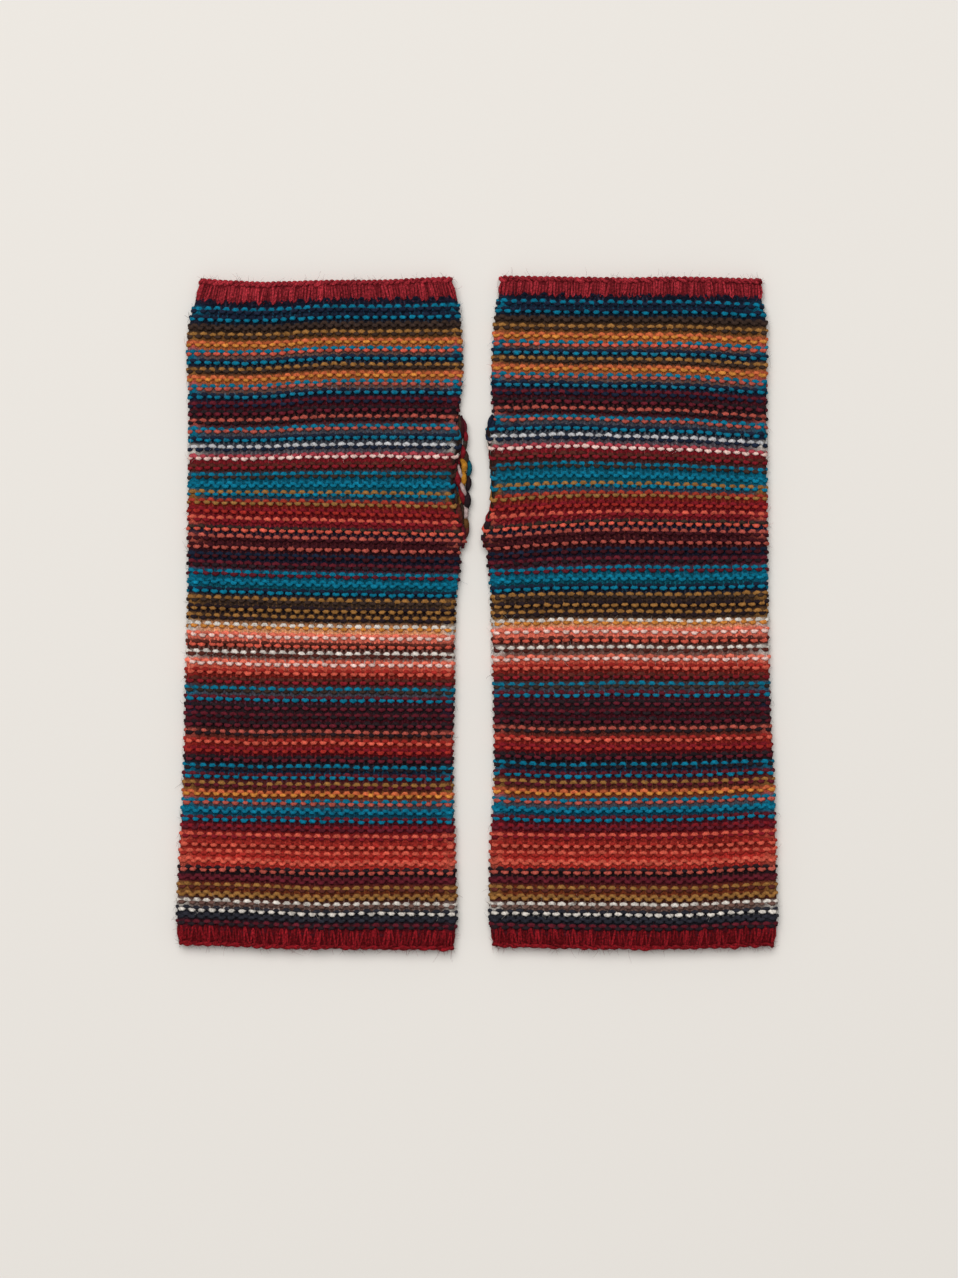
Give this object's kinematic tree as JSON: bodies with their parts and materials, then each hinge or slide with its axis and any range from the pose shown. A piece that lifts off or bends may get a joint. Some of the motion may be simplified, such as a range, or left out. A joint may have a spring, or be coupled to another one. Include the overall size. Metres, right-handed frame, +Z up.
{
  "type": "pair of fingerless mittens",
  "caption": "Pair of striped wool fingerless mittens laid flat side by side, with ribbed ends and open thumb slits.",
  "frame": {"origin": "middle of the pair's box on the surface that it lies on", "axes": "+Y along the mittens towards the finger ends, +X to the right as seen from above, +Z up from the surface"},
  "size_m": [0.2148, 0.2418, 0.0061],
  "materials": {
    "striped_wool": "matte wool knit, one narrow stripe to a course",
    "red_rib": "matte dark red wool rib",
    "carried_yarns": "matte wool yarns carried up the selvedge"
  },
  "bodies": {
    "root": {"panel_left": "striped_wool", "finger_rib_left": "red_rib", "wrist_rib_left": "red_rib", "slit_edge_front_left": "carried_yarns", "slit_edge_back_left": "carried_yarns", "panel_right": "striped_wool", "finger_rib_right": "red_rib", "wrist_rib_right": "red_rib", "slit_edge_front_right": "carried_yarns", "slit_edge_back_right": "carried_yarns"}
  },
  "joints": []
}
